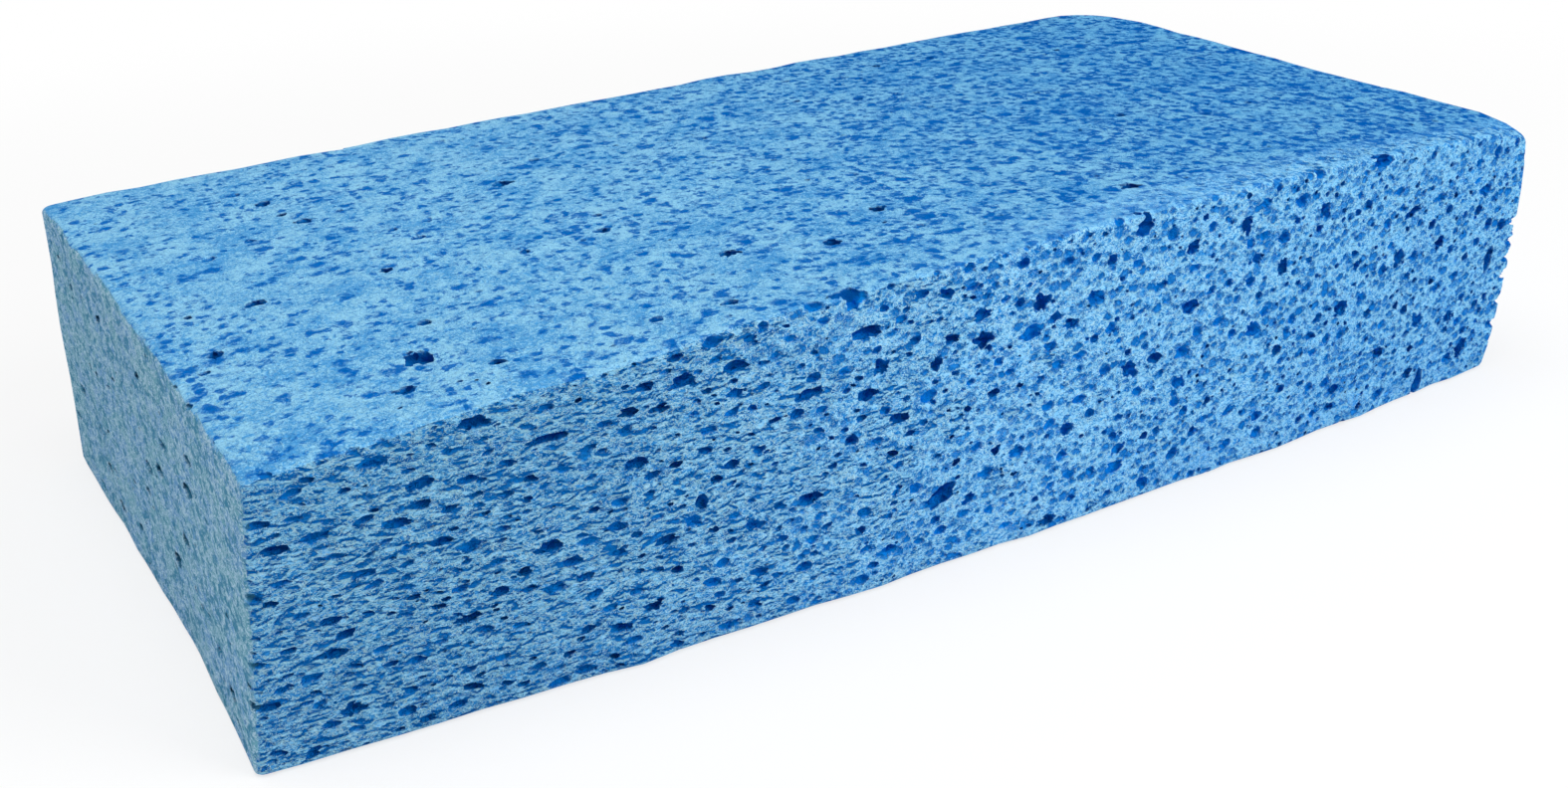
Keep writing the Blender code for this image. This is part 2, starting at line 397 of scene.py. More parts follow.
# %% One pore at its place
SHOWN_PORE_SINK = 0.20
SIDES = {
    "front": "-Y",
    "back": "+Y",
    "left": "-X",
    "right": "+X",
    "top": "+Z",
    "bottom": "-Z",
}


class Pore:
    """One bubble: its centre, its half sizes, the way it faces and its turn about that way."""

    def __init__(self, centre, sizes, axis=2, slant=0.0):
        self.centre = np.array(centre)
        self.sizes = np.array(sizes) / 2
        self.axis = axis
        self.turn = math.radians(slant)


def facing(side):
    """The axis that a side faces along, and the unit vector out of the block there."""
    sign, letter = SIDES[side]
    axis = "XYZ".index(letter)
    out = np.zeros(3)
    out[axis] = 1.0 if sign == "+" else -1.0
    return axis, out


def on_side(side, first, second):
    """A point on one side of the square-cut block, in shares of its two edges."""
    axis, out = facing(side)
    shares = [first, second]
    shares.insert(axis, (1 + out[axis]) / 2)
    return np.array([-LENGTH / 2, -WIDTH / 2, 0]) + np.array([LENGTH, WIDTH, HEIGHT]) * shares


def make_pore(side, first, second, wide, tall, slant=0.0, sink=SHOWN_PORE_SINK):
    """Sink is how far the centre lies inside the foam, as a share of the pore's depth."""
    axis, out = facing(side)
    deep = (wide + tall) / 2
    sizes = [wide, tall]
    sizes.insert(axis, deep)
    centre = dried(on_side(side, first, second)[None])[0] - out * deep * sink
    return Pore(centre, sizes, axis, slant)


def make_notch(share, wide, tall, length=0.0, slant=0.0):
    """A bubble with its centre on the rounded corner between the front and the right end."""
    shift = CORNER_RADII[1, -1] * (1 - math.sqrt(0.5))
    corner = [LENGTH / 2 - shift, shift - WIDTH / 2, HEIGHT * share]
    return Pore(dried([corner])[0], [max(wide, length), wide, tall], slant=slant)


# %% Lay the large pores
PORE_JITTER = 0.14
PORE_WALL = 0.0007
LEAST_PORE_SINK = -0.25
MOST_PORE_SINK = 0.30
FLAT_PORE = (0.0028, 0.0011)
ROUND_PORE = (0.0018, 0.0016)
SKIN_PORE = (0.0017, 0.0014)
PORE_SPREAD = 0.60
SIDE_MARGIN = 0.03
TRIES_PER_PORE = 12
RESTING_SPOT = 0.010
SCATTER = {
    "front": 90,
    "back": 40,
    "left": 14,
    "right": 18,
    "top": 20,
    "bottom": 10,
}


def clear_of(pore, others):
    """True where a bubble leaves a wall of foam between itself and the others."""
    for other in others:
        reach = (pore.sizes + other.sizes) * (1 + PORE_JITTER) + PORE_WALL
        if (((pore.centre - other.centre) / reach) ** 2).sum() < 1:
            return False
    return True


def pore_size(side, along, draws):
    """Flat bubbles in layers at the left, rounder ones to the right, small ones in the skins."""
    if side in ("top", "bottom"):
        size = np.array(SKIN_PORE)
    else:
        size = np.array(FLAT_PORE) * (1 - along) + np.array(ROUND_PORE) * along
    return size * (1 + PORE_SPREAD * draws.random() ** 2)


def scatter_pore(side, draws):
    """A pore anywhere on one side."""
    first = draws.uniform(SIDE_MARGIN, 1 - SIDE_MARGIN)
    second = draws.uniform(SIDE_MARGIN, 1 - SIDE_MARGIN)
    along = {"left": 0.0, "right": 1.0}.get(side, first)
    sink = draws.uniform(LEAST_PORE_SINK, MOST_PORE_SINK)
    return make_pore(side, first, second, *pore_size(side, along, draws), sink=sink)


def lay_pores():
    """The pores in sight first, then a seeded scatter on every side."""
    draws = random.Random(FOAM_SEED)
    shown = [make_pore("front", *numbers) for numbers in FRONT_PORES]
    shown += [make_pore("top", *numbers) for numbers in TOP_PORES]
    shown += [make_notch(*numbers) for numbers in CORNER_NOTCHES]
    pores = [pore for place, pore in enumerate(shown) if clear_of(pore, shown[:place])]
    for side, count in SCATTER.items():
        tries = [scatter_pore(side, draws) for _ in range(count * TRIES_PER_PORE)]
        wanted = len(pores) + count
        for pore in tries:
            under = side == "bottom" and math.hypot(*pore.centre[:2]) < RESTING_SPOT
            if len(pores) < wanted and not under and clear_of(pore, pores):
                pores.append(pore)
    return pores


large = lay_pores()
print("large pores:", len(large))

# %% [markdown]
# ## Cells between the large pores
#
# Between the large pores the foam is full of smaller cells. They only show up close, so the solid
# model leaves them out, and here two scatters of their own lay them, one of middle cells and one of
# small ones. Their number on each side is given for a square centimetre: most on the cut sides, few
# in the skins. Many small ones and few large ones look right, so the size is drawn from a squared
# random number. They could be dents in a bump map, but real holes look right from any side.

# %% A layer of bubbles
CELL_WALL = 0.00022
CELL_REACH = 1.15


class Layer:
    """The bubbles of one cutter, which are kept apart from each other."""

    def __init__(self, pores=()):
        self.pores = list(pores)
        self.centres = np.array([pore.centre for pore in self.pores]).reshape(-1, 3)
        self.sizes = np.array([pore.sizes for pore in self.pores]).reshape(-1, 3)

    def try_to_lay(self, pore):
        """Adds a bubble where it has room, and says whether it did."""
        reach = (self.sizes + pore.sizes) * CELL_REACH + CELL_WALL
        if len(reach) and (((self.centres - pore.centre) / reach) ** 2).sum(1).min() < 1:
            return False
        self.pores.append(pore)
        self.centres = np.vstack([self.centres, pore.centre])
        self.sizes = np.vstack([self.sizes, pore.sizes])
        return True


# %% Lay the middle cells
CM2_PER_M2 = 1e4
TRIES_PER_CELL = 6
FLAT_CELL = np.array([1.75, 0.70])
ROUND_CELL = np.array([1.10, 0.95])
ROUNDING_SPEED = 1.6
CELL_SINK = (-0.15, 0.30)
CELL_SLANT = 15
MIDDLE_CELLS = {"front": 6.0, "back": 2.5, "right": 4.5, "left": 0.4, "top": 0.2, "bottom": 0.2}
MIDDLE_SIZES = (0.0010, 0.0020)


def scatter_cells(layer, draws, side, per_cm2, smallest, largest):
    """Lays cells at random on one side, and says how many found room."""
    edges = [LENGTH, WIDTH, HEIGHT]
    del edges[facing(side)[0]]
    wanted = round(edges[0] * edges[1] * CM2_PER_M2 * per_cm2)
    placed = 0
    for _ in range(wanted * TRIES_PER_CELL):
        first, second = draws.uniform(0.0, 1.0, 2)
        along = {"left": 0.0, "right": 1.0, "top": 1.0, "bottom": 1.0}.get(side, first)
        shape = FLAT_CELL + (ROUND_CELL - FLAT_CELL) * min(1.0, along * ROUNDING_SPEED)
        wide, tall = shape * (smallest + (largest - smallest) * draws.random() ** 2)
        sink = draws.uniform(*CELL_SINK)
        slant = draws.uniform(-CELL_SLANT, CELL_SLANT)
        if layer.try_to_lay(make_pore(side, first, second, wide, tall, slant, sink)):
            placed += 1
        if placed == wanted:
            break
    return placed


draws = np.random.default_rng(FOAM_SEED)
middle = Layer(large)
for side, per_cm2 in MIDDLE_CELLS.items():
    print("middle cells,", side, scatter_cells(middle, draws, side, per_cm2, *MIDDLE_SIZES))

# %% [markdown]
# ## Small bubbles and torn rims
#
# The small bubbles are a layer of their own, so they may lie anywhere on the larger ones. Long ones
# come first, on the near right corner: they run slantwise through it, so that each one cuts a step
# out of its outline. Others sit on the rims of the large pores, which makes those open ragged and
# not round. The small cells fill what room is left.

# %% Break the rims and lay the small cells
CORNER_BREAKS = (0.65, 0.56, 0.49, 0.42, 0.30, 0.20)
CORNER_BREAK = {"wide": 0.0028, "tall": 0.0019, "length": 0.0066, "slant": 33}
BREAKS_PER_PORE = 2
BREAK_SIZES = (0.35, 0.60)
SMALL_CELLS = {"front": 9.0, "back": 3.5, "right": 6.0, "left": 1.2, "top": 0.5, "bottom": 0.2}
SMALL_SIZES = (0.0006, 0.0011)


def break_rim(layer, draws, pore):
    """Lays small bubbles on the rim of a large one, which break into it."""
    across = [i for i in range(3) if i != pore.axis]
    for _ in range(BREAKS_PER_PORE):
        angle = draws.uniform(0, 2 * math.pi)
        centre = pore.centre.copy()
        centre[across[0]] += math.cos(angle) * pore.sizes[across[0]]
        centre[across[1]] += math.sin(angle) * pore.sizes[across[1]]
        size = pore.sizes.min() * 2 * draws.uniform(*BREAK_SIZES)
        layer.try_to_lay(Pore(centre, [size] * 3, pore.axis))


small = Layer()
for share in CORNER_BREAKS:
    small.try_to_lay(make_notch(share, **CORNER_BREAK))
print("breaks in the corner:", len(small.pores))
for pore in large:
    break_rim(small, draws, pore)
print("bubbles that break into large pores:", len(small.pores))
for side, per_cm2 in SMALL_CELLS.items():
    print("small cells,", side, scatter_cells(small, draws, side, per_cm2, *SMALL_SIZES))

# %% [markdown]
# ## Opening the pores
#
# The large pores and the middle cells become one cutter and the small bubbles another, and a
# Boolean takes each of them away from the block. The bubbles of one cutter are kept apart, because
# a Boolean works best on clean closed shapes, but small ones may break into large ones, as the
# cells of real foam do. Cutting real holes costs more triangles than a bump map, but the pores then
# have depth, dark insides and bright rims from any side.

# %% Open the pores
DENT = 0.40
DENT_SCALE = 1.7
DENT_ROOM = 50
TEAR = 0.13
FINE_FROM = 0.0022
MEDIUM_FROM = 0.00125


def bubbles(layer, name):
    """One mesh of all the bubbles, each a dented and torn ball at its place."""
    corners, faces, start = [], [], 0
    for pore in layer.pores:
        size = 2 * pore.sizes.mean()
        level = FINE if size > FINE_FROM else MEDIUM if size > MEDIUM_FROM else COARSE
        ball_corners, ball_faces = BALLS[level]
        start_of_noise = draws.uniform(-DENT_ROOM, DENT_ROOM, 3)
        spots = ball_corners * DENT_SCALE + start_of_noise
        dents = [noise.noise(Vector(spot)) for spot in spots]
        tears = draws.uniform(-TEAR, TEAR, len(ball_corners))
        shape = ball_corners * (1 + DENT * np.array(dents) + tears)[:, None] * pore.sizes
        across = [i for i in range(3) if i != pore.axis]
        cos, sin = math.cos(pore.turn), math.sin(pore.turn)
        shape[:, across] = shape[:, across] @ np.array([[cos, sin], [-sin, cos]])
        corners.append(shape + pore.centre)
        faces.append(ball_faces + start)
        start += len(ball_corners)
    mesh = bpy.data.meshes.new(name)
    mesh.from_pydata(np.vstack(corners), [], np.vstack(faces))
    cutter = bpy.data.objects.new(name, mesh)
    bpy.context.scene.collection.objects.link(cutter)
    return cutter


def open_pores(piece, layer, name):
    """Cuts one layer of bubbles out of the piece."""
    cutter = bubbles(layer, name)
    deselect()
    piece.select_set(True)
    bpy.context.view_layer.objects.active = piece
    opening = piece.modifiers.new(name, "BOOLEAN")
    opening.operation = "DIFFERENCE"
    opening.solver = "MANIFOLD"
    opening.object = cutter
    bpy.ops.object.modifier_apply(modifier=name)
    bpy.data.objects.remove(cutter)
    print(name, "leaves", len(piece.data.polygons), "faces")


uncut = block.data.copy()
open_pores(block, middle, "large_bubbles")
open_pores(block, small, "small_bubbles")

# %% [markdown]
# ## Clean up
#
# Where several bubbles meet they can cut a crumb of foam loose. Every face is made a triangle
# first, which is what the finished mesh is stored as. Then the point nearest the middle of the
# underside is selected, where no large pore opens, with all that is joined to it, and the rest is
# deleted. Separating by loose parts would do the same, but leaves an object for each crumb.

# %% Drop the crumbs
def keep_block(piece):
    bpy.ops.object.mode_set(mode="EDIT")
    bpy.ops.mesh.select_all(action="SELECT")
    bpy.ops.mesh.quads_convert_to_tris()
    bpy.ops.mesh.select_all(action="DESELECT")
    bpy.ops.object.mode_set(mode="OBJECT")
    nearest = int(np.argmin(np.abs(corners_of(piece.data)).sum(1)))
    piece.data.vertices[nearest].select = True
    bpy.ops.object.mode_set(mode="EDIT")
    bpy.ops.mesh.select_mode(type="VERT")
    bpy.ops.mesh.select_linked()
    bpy.ops.mesh.select_all(action="INVERT")
    bpy.ops.mesh.delete(type="VERT")
    bpy.ops.object.mode_set(mode="OBJECT")


keep_block(block)
print("sponge:", len(block.data.polygons), "triangles")

# %% [markdown]
# ## What the material needs to know
#
# Two things can't be read from a position alone: how deep a point lies in a pore, and which kind
# of side it belongs to. Both are measured against the block as it was before the pores were
# opened, and stored on the points as attributes. The depth darkens the colour inside the pores, a
# painted shade, and the side chooses between the felted skin of the top, the porous long sides and
# the fine left end.
# Blender may number the faces of that block in another order on each run. A point on an edge is as
# near to one face as to the other and gets whichever is met first, so the faces are sorted first.

# %% Measure depth and side
MM_PER_M = 1000


def measure(piece, uncut):
    """Stores each point's depth in mm, and how far its side faces up or down and to the left."""
    uncut_faces = sorted(face.vertices[:] for face in uncut.polygons)
    tree = BVHTree.FromPolygons([tuple(point) for point in corners_of(uncut)], uncut_faces)
    depth, felt, end = [], [], []
    for vertex in piece.data.vertices:
        _, normal, _, distance = tree.find_nearest(vertex.co)
        depth.append(distance * MM_PER_M)
        felt.append(normal.z * normal.z)
        end.append(max(0.0, -normal.x) ** 2)
    for name, values in {"depth": depth, "felt": felt, "left_end": end}.items():
        layer = piece.data.attributes.new(name, "FLOAT", "POINT")
        layer.data.foreach_set("value", np.array(values, np.float32))
    return np.array(depth)


depths = measure(block, uncut)
print(f"deepest point {depths.max():.2f} mm")

# %% [markdown]
# ## Shading the faces
#
# Dried foam has soft walls and sharp torn rims. Smooth shading up to a certain angle gives both:
# faces that meet flatter than that are shaded as one surface, and sharper edges stay sharp.

# %% Smooth the faces
SMOOTH_ANGLE = 48

deselect()
block.select_set(True)
bpy.context.view_layer.objects.active = block
bpy.ops.object.shade_smooth_by_angle(angle=math.radians(SMOOTH_ANGLE))
print("smooth up to", SMOOTH_ANGLE, "degrees")

# %% [markdown]
# ## A small language for shaders
#
# Node trees are easier to read as sums. A Wire holds one output of a node, and adding or
# multiplying two wires adds a Math node. Any other node comes from one method, which takes the
# node's type, its settings and what goes into its sockets.

# %% Shader helper
class Wire:
    """One output of a node, which can be added, taken away and multiplied."""

    def __init__(self, shader, socket):
        self.shader = shader
        self.socket = socket

    def __add__(self, other):
        return self.shader.maths("ADD", self, other)

    def __sub__(self, other):
        return self.shader.maths("SUBTRACT", self, other)

    def __rsub__(self, other):
        return self.shader.maths("SUBTRACT", other, self)

    def __mul__(self, other):
        return self.shader.maths("MULTIPLY", self, other)

    __radd__ = __add__
    __rmul__ = __mul__

    def sibling(self, output):
        """Another output of the same node."""
        return Wire(self.shader, self.socket.node.outputs[output])


class Shader:
    """The nodes of one material or of the world."""

    def __init__(self, owner):
        owner.use_nodes = True
        self.nodes = owner.node_tree.nodes
        self.links = owner.node_tree.links
        self.nodes.clear()

    def node(self, kind, settings=None, inputs=None, output=0):
        made = self.nodes.new(kind)
        for key, value in (settings or {}).items():
            setattr(made, key, value)
        for key, value in (inputs or {}).items():
            if isinstance(value, Wire):
                self.links.new(value.socket, made.inputs[key])
            else:
                made.inputs[key].default_value = value
        return Wire(self, made.outputs[output])

    def show(self, surface, kind="ShaderNodeOutputMaterial"):
        """Sends a shader to the output of its material or world."""
        output = self.nodes.new(kind)
        self.links.new(surface.socket, output.inputs["Surface"])

    def maths(self, operation, first, second):
        return self.node("ShaderNodeMath", {"operation": operation}, {0: first, 1: second})

    def attribute(self, name):
        return self.node("ShaderNodeAttribute", {"attribute_name": name}, output="Fac")

    def ramp(self, value, start, end, low=0.0, high=1.0):
        """A smooth step from low to high while the value goes from start to end."""
        limits = {"Value": value, "From Min": start, "From Max": end, "To Min": low, "To Max": high}
        return self.node("ShaderNodeMapRange", {"interpolation_type": "SMOOTHSTEP"}, limits)

    def mix(self, factor, first, second):
        colours = {"Factor": factor, 6: first, 7: second}
        return self.node("ShaderNodeMix", {"data_type": "RGBA"}, colours, output=2)

    def vector(self, operation, first, second):
        return self.node("ShaderNodeVectorMath", {"operation": operation}, {0: first, 1: second})

    def seen(self):
        """1 where the camera sees the surface, straight or in a shiny or clear one, else 0."""
        camera = self.node("ShaderNodeLightPath", output="Is Camera Ray")
        mirrored = self.maths("MAXIMUM", camera.sibling("Is Glossy Ray"), camera)
        return self.maths("MAXIMUM", camera.sibling("Is Transmission Ray"), mirrored)


# %% [markdown]
# ## The foam
#
# Up close the walls between the pores are a pale fibre net, with many more pits than the cutters
# open. The left half of the block was pressed flat before it dried, so its small pits are thin
# slots, drawn with squashed noise. To the right they are round, drawn with Voronoi cells. Both dent
# the surface through a Bump node and deepen the colour as painted shade in the pits. A drawn pit
# has no walls of its own, so the pattern is read once more a third of a millimetre higher. Where
# that is deeper, the point is on the lower lip of a pit, which would catch the light and gets a
# painted highlight, and where it is shallower, on the upper one, which gets painted shade. All the
# patterns read Object coordinates, so they run through the foam as real cells do. An image could
# hold them too, but it would stretch over the corners.

# %% Foam colours
THREAD = (0.560, 0.880, 1.000, 1)
PALE = (0.305, 0.700, 1.000, 1)
LIT = (0.062, 0.360, 0.800, 1)
MID = (0.006, 0.190, 0.630, 1)
# painted highlight for the lower lips of the drawn pits
LIP_HIGHLIGHT = (0.400, 0.790, 1.000, 1)
SHADED = (0.002, 0.110, 0.460, 1)
# painted shade inside the pores, darker the deeper they go
PORE_SHADE = (0.004, 0.255, 0.820, 1)
DEEP_PORE_SHADE = (0.000, 0.205, 0.850, 1)
SKIN_PALE = (0.335, 0.725, 1.000, 1)
SKIN_MID = (0.080, 0.380, 0.810, 1)
SKIN_BLUE = (0.001, 0.150, 0.580, 1)
# painted shade inside the pores of the skin
SKIN_HOLE_SHADE = (0.003, 0.190, 0.640, 1)
END_PALE = (0.440, 0.665, 0.825, 1)
END_GREEN = (0.165, 0.410, 0.540, 1)
END_BLUE = (0.140, 0.345, 0.640, 1)
# dark clouds of the left end, and painted shade inside its pores
END_DARK_AND_PORE_SHADE = (0.050, 0.240, 0.405, 1)
# painted shade: the cut sides are darker towards the left
LEFT_SHADE = (0.765, 0.775, 0.765, 1)
RIGHT_TINT = (0.610, 0.800, 0.900, 1)
UNTINTED = (1.000, 1.000, 1.000, 1)

# %% Kinds of pattern
foam_look = bpy.data.materials.new("cellulose foam")
sh = Shader(foam_look)
place = sh.node("ShaderNodeTexCoord", output="Object")
along = sh.node("ShaderNodeSeparateXYZ", {}, {"Vector": place}, "X")
across = along.sibling("Y")
roundness = sh.ramp(along, -0.09, 0.05)


def grain(squash, size, detail, roughness, distortion=0.0, at=place):
    """Cloudy noise around 0.5, squashed along each axis by its own factor."""
    settings = {"Scale": 1 / size, "Detail": detail, "Roughness": roughness}
    settings["Vector"] = sh.vector("MULTIPLY", at, squash)
    settings["Distortion"] = distortion
    return sh.node("ShaderNodeTexNoise", {}, settings)


def cells(at, squash, size, least, spread, edge, dimensions="3D"):
    """Pits of uneven width and depth: up to 1 in their middle and 0 on the walls."""
    squashed = sh.vector("MULTIPLY", at, squash)
    settings = {"Vector": squashed, "Scale": 1 / size}
    distance = sh.node("ShaderNodeTexVoronoi", {"voronoi_dimensions": dimensions}, settings)
    chance = sh.node("ShaderNodeSeparateColor", {}, {"Color": distance.sibling("Color")})
    pit = sh.ramp(distance - (chance * spread + least), edge, -edge)
    return pit * (chance.sibling("Green") * 0.5 + 0.5)


# %% Where slots give way to round pits
EVEN = (1, 1, 1)
MOTTLE_SIZE = 0.0018
CLOUD_SIZE = 0.0080

mottle = grain(EVEN, MOTTLE_SIZE, 4, 0.75, 0.5)
broad = grain(EVEN, CLOUD_SIZE, 3, 0.6)
change = sh.ramp(along, -0.10, 0.04) + (broad - 0.5) * 2.0 + (mottle - 0.5) * 1.5
round_part = sh.ramp(change, 0.40, 0.60)


def blend(flat, rounded):
    """The first pattern where the foam was pressed flat, the second where it stayed round."""
    return flat * (1 - round_part) + rounded * round_part


# %% Pits and their lips
DRIFT_SIZE = 0.00077
DRIFT = 0.0014
SLOT_SIZE = 0.0010
PIT_SIZE = 0.0015
LIP_HEIGHT = 0.00032
SMALL_SLOT_SIZE = 0.0007
SMALL_PIT_SIZE = 0.0008

drift = grain(EVEN, DRIFT_SIZE, 3, 0.7).sibling("Color")
drift = sh.vector("MULTIPLY", sh.vector("SUBTRACT", drift, (0.5, 0.5, 0.5)), (DRIFT,) * 3)
bent = sh.vector("ADD", place, drift)


def pits_at(lift):
    """The larger drawn pits, as they are at a height above each point."""
    lifted = sh.vector("ADD", place, (0, 0, lift))
    slots = sh.ramp(grain((0.48, 0.48, 1.30), SLOT_SIZE, 3, 0.65, 0.4, lifted), 0.52, 0.62)
    lifted = sh.vector("ADD", bent, (0, 0, lift))
    rounds = cells(lifted, (0.88, 0.88, 1.12), PIT_SIZE, 0.18, 0.42, 0.15)
    return blend(slots, rounds)


small_slot = sh.ramp(grain((0.50, 0.50, 1.30), SMALL_SLOT_SIZE, 3, 0.8, 0.3), 0.50, 0.61)
cell = pits_at(0)
# The pits read a little higher up mark the lips that get a painted highlight and painted shade.
lip = pits_at(LIP_HEIGHT) - cell
lower_lip_highlight = sh.maths("MAXIMUM", lip, 0)
upper_lip_shade = sh.maths("MAXIMUM", 0 - lip, 0)
fine = blend(small_slot, cells(bent, (0.95, 0.95, 1.10), SMALL_PIT_SIZE, 0.15, 0.34, 0.10))

# %% Fibres
FLAT_FIBRE_SIZE = 0.00048
ROUND_FIBRE_SIZE = 0.00060
THREAD_SIZE = 0.0007
FELT_SIZE = 0.00045

flat_fibre = grain((0.42, 0.42, 1.1), FLAT_FIBRE_SIZE, 3, 0.95)
fibre = blend(flat_fibre, grain((0.8, 0.8, 1.2), ROUND_FIBRE_SIZE, 3, 0.9))
strand = sh.ramp(fibre, 0.43, 0.57)
crease = sh.maths("ABSOLUTE", grain((0.8, 0.8, 1.1), THREAD_SIZE, 2, 0.6, 1.0) - 0.5, 0)
thread = sh.ramp(crease, 0.045, 0.010)
felt_fibre = grain(EVEN, FELT_SIZE, 3, 0.95, 0.8)
print("patterns:", len(foam_look.node_tree.nodes), "nodes")

# %% [markdown]
# ## The finish of each side
#
# One sponge has three finishes. The cut sides show the fibre net and its pits. The top is a felted
# skin with soft blue blotches, where cells lie just under it. The left end is finer and greyer.
# Each is a colour built up in layers, with a Mix node for each layer. The attributes choose between
# them. Noise makes the border of the left end ragged, and the skin of the top is worn through along
# the right half of its front edge. Three materials could do this too, but they would meet in
# straight lines.

# %% The cut sides
depth = sh.attribute("depth") + (fibre - 0.5) * 0.9
inside = sh.ramp(depth, 0.0, 0.35)
deep = sh.ramp(depth, 0.5, 2.2)

# Painted shade: the drawn pits darken the colour from PALE through LIT to MID, and the fibre
# strands and a slow noise vary its tone.
tone_and_pit_shade = cell * (1.3 - round_part * 0.10) + fine * 0.70 + (0.5 - strand) + (broad - 0.5) * 0.6
# Painted shade: the left part is darker.
tone_and_pit_shade = tone_and_pit_shade + (1 - roundness) * 0.12
foam = sh.mix(sh.ramp(tone_and_pit_shade, -0.40, 0.40), PALE, LIT)
foam = sh.mix(sh.ramp(tone_and_pit_shade, 0.22, 1.00), foam, MID)
foam = sh.mix(thread * (1 - cell) * 0.75, foam, THREAD)
# Painted highlight on the lower lip of each drawn pit.
foam = sh.mix(lower_lip_highlight * 0.70, foam, LIP_HIGHLIGHT)
# Painted shade on the upper lip of each drawn pit.
foam = sh.mix(upper_lip_shade * 0.75, foam, SHADED)
# Painted shade: the colour turns a darker blue inside the pores, more the deeper they go.
foam = sh.mix(inside, foam, PORE_SHADE)
foam = sh.mix(deep, foam, DEEP_PORE_SHADE)
# Painted shade: the cut sides darken towards the left.
foam = sh.vector("MULTIPLY", foam, sh.mix(sh.ramp(along, -0.09, 0.0), LEFT_SHADE, UNTINTED))

# %% The felted top
BLOTCH_SIZE = 0.0034
SPOT_SIZE = 0.0016
BLOTCH_SQUASH = (0.9, 1.0, 1.0)

torn = (felt_fibre - 0.5) * 1.5 + (mottle - 0.5) * 3.5 + (roundness - 0.25) * 0.30
blotch = cells(bent, BLOTCH_SQUASH, BLOTCH_SIZE, -0.20, 0.60, 0.18, "2D")
blotch = sh.ramp(blotch + torn, 0.20, 0.95)
spot = cells(bent, BLOTCH_SQUASH, SPOT_SIZE, -0.12, 0.60, 0.16, "2D")
spot = sh.ramp(spot + torn, 0.20, 0.90)
speck = (0.5 - felt_fibre) * 4.0 + (mottle - 0.5) * 2.0 + (broad - 0.5) * 1.6
speck = sh.ramp(speck, -0.30, 0.38)
skin = sh.mix(speck, SKIN_PALE, SKIN_MID)
skin = sh.mix(spot * 0.95, skin, SKIN_BLUE)
skin = sh.mix(blotch * 0.95, skin, SKIN_BLUE)
# Painted shade inside the pores of the skin.
skin = sh.mix(inside, skin, SKIN_HOLE_SHADE)

# %% The left end
END_SQUASH = (1.0, 0.58, 1.0)
END_FIBRE_SIZE = 0.00055
END_CLOUD_SIZE = 0.0014
END_PATCH_SIZE = 0.0050

end_fibre = grain(END_SQUASH, END_FIBRE_SIZE, 3, 0.95, 0.8)
end_cloud = grain(END_SQUASH, END_CLOUD_SIZE, 3, 0.80, 0.3)
end_patch = grain(END_SQUASH, END_PATCH_SIZE, 4, 0.80, 0.3)
end = sh.mix(sh.ramp(end_patch, 0.44, 0.56), END_GREEN, END_BLUE)
end = sh.mix(sh.ramp(end_fibre, 0.48, 0.53), end, END_PALE)
end = sh.mix(sh.ramp(end_cloud, 0.51, 0.59) * 0.85, end, END_DARK_AND_PORE_SHADE)
# Painted shade inside the pores of the left end.
end = sh.mix(inside, end, END_DARK_AND_PORE_SHADE)

# %% Which finish goes where
WORN_EDGE = (0.009, 0.003)
WORN_LENGTH = (-0.02, 0.05)
WORN_RAGGED = 0.012

felt = sh.attribute("felt")
left_end = sh.attribute("left_end")
front_gap = across + WIDTH / 2 + (mottle - 0.5) * WORN_RAGGED
worn_edge = sh.ramp(front_gap, *WORN_EDGE) * sh.ramp(along, *WORN_LENGTH)
skinned = sh.ramp(felt, 0.35, 0.65) * (1 - worn_edge)
colour = sh.mix(skinned, foam, skin)
rightness = sh.ramp(along, -0.06, 0.10) * (skinned * 0.4 + 0.6)
colour = sh.vector("MULTIPLY", colour, sh.mix(rightness, UNTINTED, RIGHT_TINT))
colour = sh.mix(sh.ramp(left_end + (mottle - 0.5) * 1.5, 0.35, 0.65), colour, end)

# %% Bumps and the foam itself
BUMP_HEIGHT = 0.001

rough_side = (1 - skinned) * (1 - left_end)
pits = cell * (roundness * -0.20 - 0.18) - fine * 0.10 + strand * 0.10
felting = felt_fibre * 0.40 - mottle * 0.3
height = pits * rough_side + felting * (1 - rough_side) * (1 - left_end * 0.5)
bump = sh.node("ShaderNodeBump", {}, {"Height": height, "Strength": 1.0, "Distance": BUMP_HEIGHT})
dull = {"Base Color": colour, "Roughness": 1.0, "Specular IOR Level": 0.0, "Normal": bump}
sh.show(sh.node("ShaderNodeBsdfPrincipled", {}, dull))
block.data.materials.clear()
block.data.materials.append(foam_look)
print("foam material:", len(foam_look.node_tree.nodes), "nodes")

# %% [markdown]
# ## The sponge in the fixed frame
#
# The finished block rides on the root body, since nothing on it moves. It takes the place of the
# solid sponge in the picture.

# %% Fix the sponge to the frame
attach(block, "root")
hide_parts("sponge_block")

# %% [markdown]
# ## Floor, light and camera
#
# The photograph has a plain white ground and soft light. The floor is large and pale. Near the
# block the camera sees it partly lit, which keeps the soft shadow, and farther off it glows plain
# white, so it has no far edge. More light on a grey floor would whiten it too, but would bleach the
# sponge. A wide lamp overhead lights the top, and one about as strong lights the porous side and
# comes from the front right. An even world light fills the shadows.

# %% Floor
WHITE = (1, 1, 1, 1)
FLOOR_COLOUR = (0.9, 0.9, 0.9, 1)
FLOOR_SIZE = 6.0
FLOOR_GAP = 0.0002
NEAR_GLOW = 0.70
SHADOW_REACH = (0.12, 0.40)

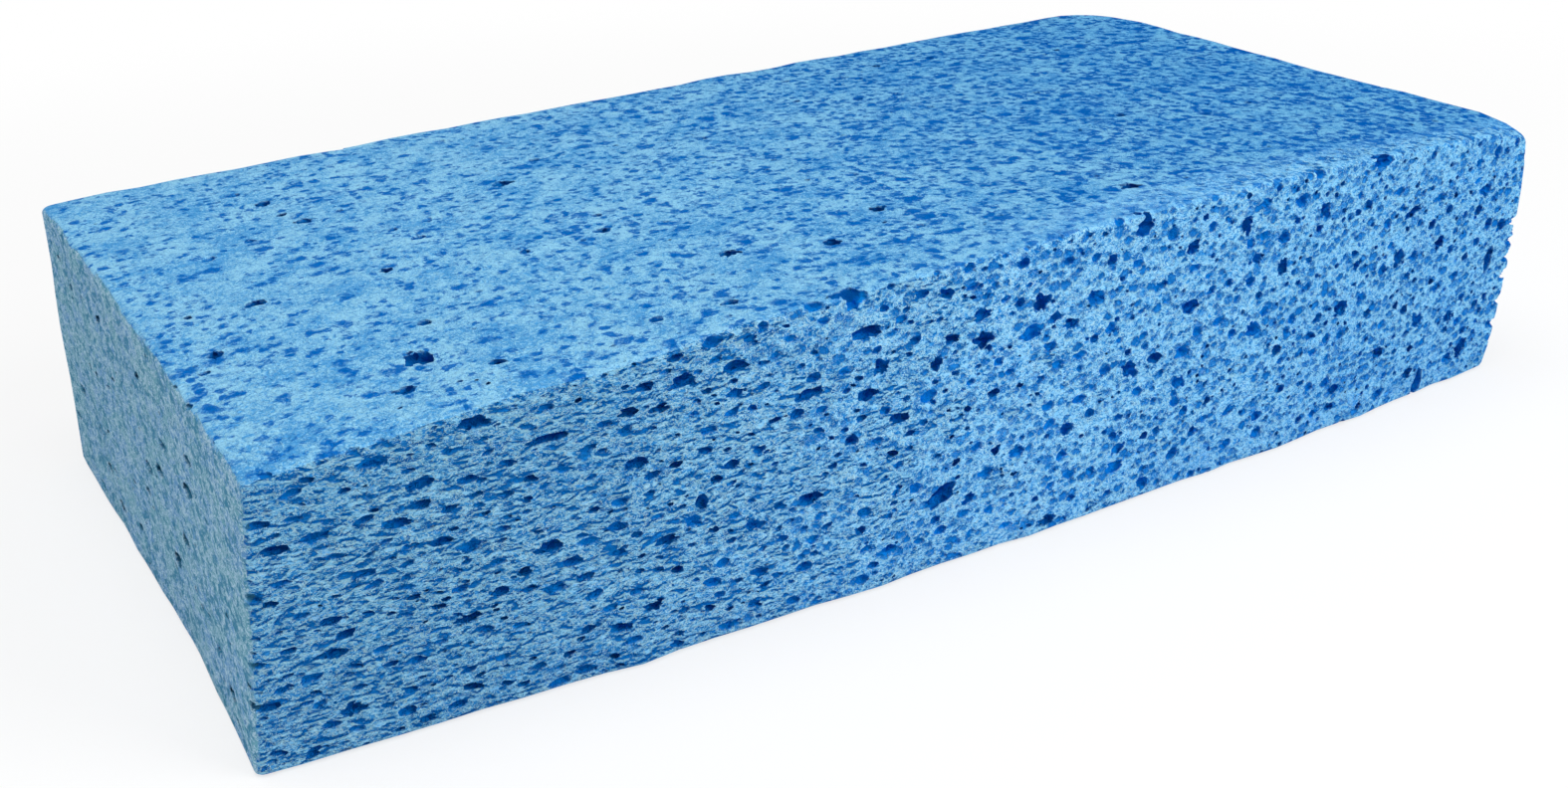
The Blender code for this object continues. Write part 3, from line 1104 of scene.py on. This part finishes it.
floor_look = bpy.data.materials.new("white floor")
sh = Shader(floor_look)
lit = sh.node("ShaderNodeBsdfDiffuse", {}, {"Color": FLOOR_COLOUR})
glow = sh.node("ShaderNodeEmission", {}, {"Color": WHITE, "Strength": 1.0})
point = sh.node("ShaderNodeTexCoord", output="Object")
distance = sh.node("ShaderNodeVectorMath", {"operation": "LENGTH"}, {0: point}, "Value")
glow_share = sh.ramp(distance, *SHADOW_REACH, NEAR_GLOW, 1.0)
sh.show(sh.node("ShaderNodeMixShader", {}, {0: sh.seen() * glow_share, 1: lit, 2: glow}))

deselect()
bpy.ops.mesh.primitive_plane_add(size=FLOOR_SIZE, location=(0, 0, -FLOOR_GAP))
floor = bpy.context.object
floor.name = "floor"
floor.data.materials.append(floor_look)
print("floor:", FLOOR_SIZE, "m wide")

# %% Light
WORLD_LIGHT = 0.42
LAMP_AIM = Vector((0, 0, 0.02))


def area_lamp(name, place, size, power):
    """A lamp of the given width and height, aimed at the middle of the block."""
    lamp = bpy.data.lights.new(name, "AREA")
    lamp.shape = "RECTANGLE"
    lamp.size, lamp.size_y = size
    lamp.energy = power
    made = bpy.data.objects.new(name, lamp)
    bpy.context.scene.collection.objects.link(made)
    made.location = place
    made.rotation_euler = (LAMP_AIM - Vector(place)).to_track_quat("-Z", "Y").to_euler()


area_lamp("overhead", place=(-0.20, -0.12, 0.80), size=(0.7, 0.6), power=4.0)
area_lamp("front", place=(0.44, -0.65, 0.40), size=(0.5, 0.5), power=4.1)

world = bpy.data.worlds.new("studio")
bpy.context.scene.world = world
sh = Shader(world)
brightness = sh.seen() * (1 - WORLD_LIGHT) + WORLD_LIGHT
sh.show(
    sh.node("ShaderNodeBackground", {}, {"Color": WHITE, "Strength": brightness}),
    "ShaderNodeOutputWorld",
)

# %% [markdown]
# ## The camera
#
# The place, aim, roll and lens of the camera were worked out from the edges and corners of the
# block in the photograph, so the render can be laid over it. They could be set by eye, but then a
# difference in shape couldn't be told from a difference in view.

# %% Camera
CAMERA_PLACE = Vector((-0.13275, -0.2004, 0.1054))
CAMERA_AIM = Vector((-0.02882, -0.03334, 0.0220))
CAMERA_ROLL = -1.25
CAMERA_LENS = 38.32
SENSOR_WIDTH = 36
NEAREST_SEEN = 0.01

camera_data = bpy.data.cameras.new("camera")
camera_data.lens = CAMERA_LENS
camera_data.sensor_width = SENSOR_WIDTH
camera_data.clip_start = NEAREST_SEEN
camera = bpy.data.objects.new("camera", camera_data)
bpy.context.scene.collection.objects.link(camera)
camera.location = CAMERA_PLACE
turn = (CAMERA_AIM - CAMERA_PLACE).to_track_quat("-Z", "Y").to_matrix().to_4x4()
camera.rotation_euler = (turn @ Matrix.Rotation(math.radians(CAMERA_ROLL), 4, "Z")).to_euler()
bpy.context.scene.camera = camera
print("camera:", round((CAMERA_AIM - CAMERA_PLACE).length, 3), "m from its aim")
bpy.context.scene.view_settings.view_transform = "Standard"
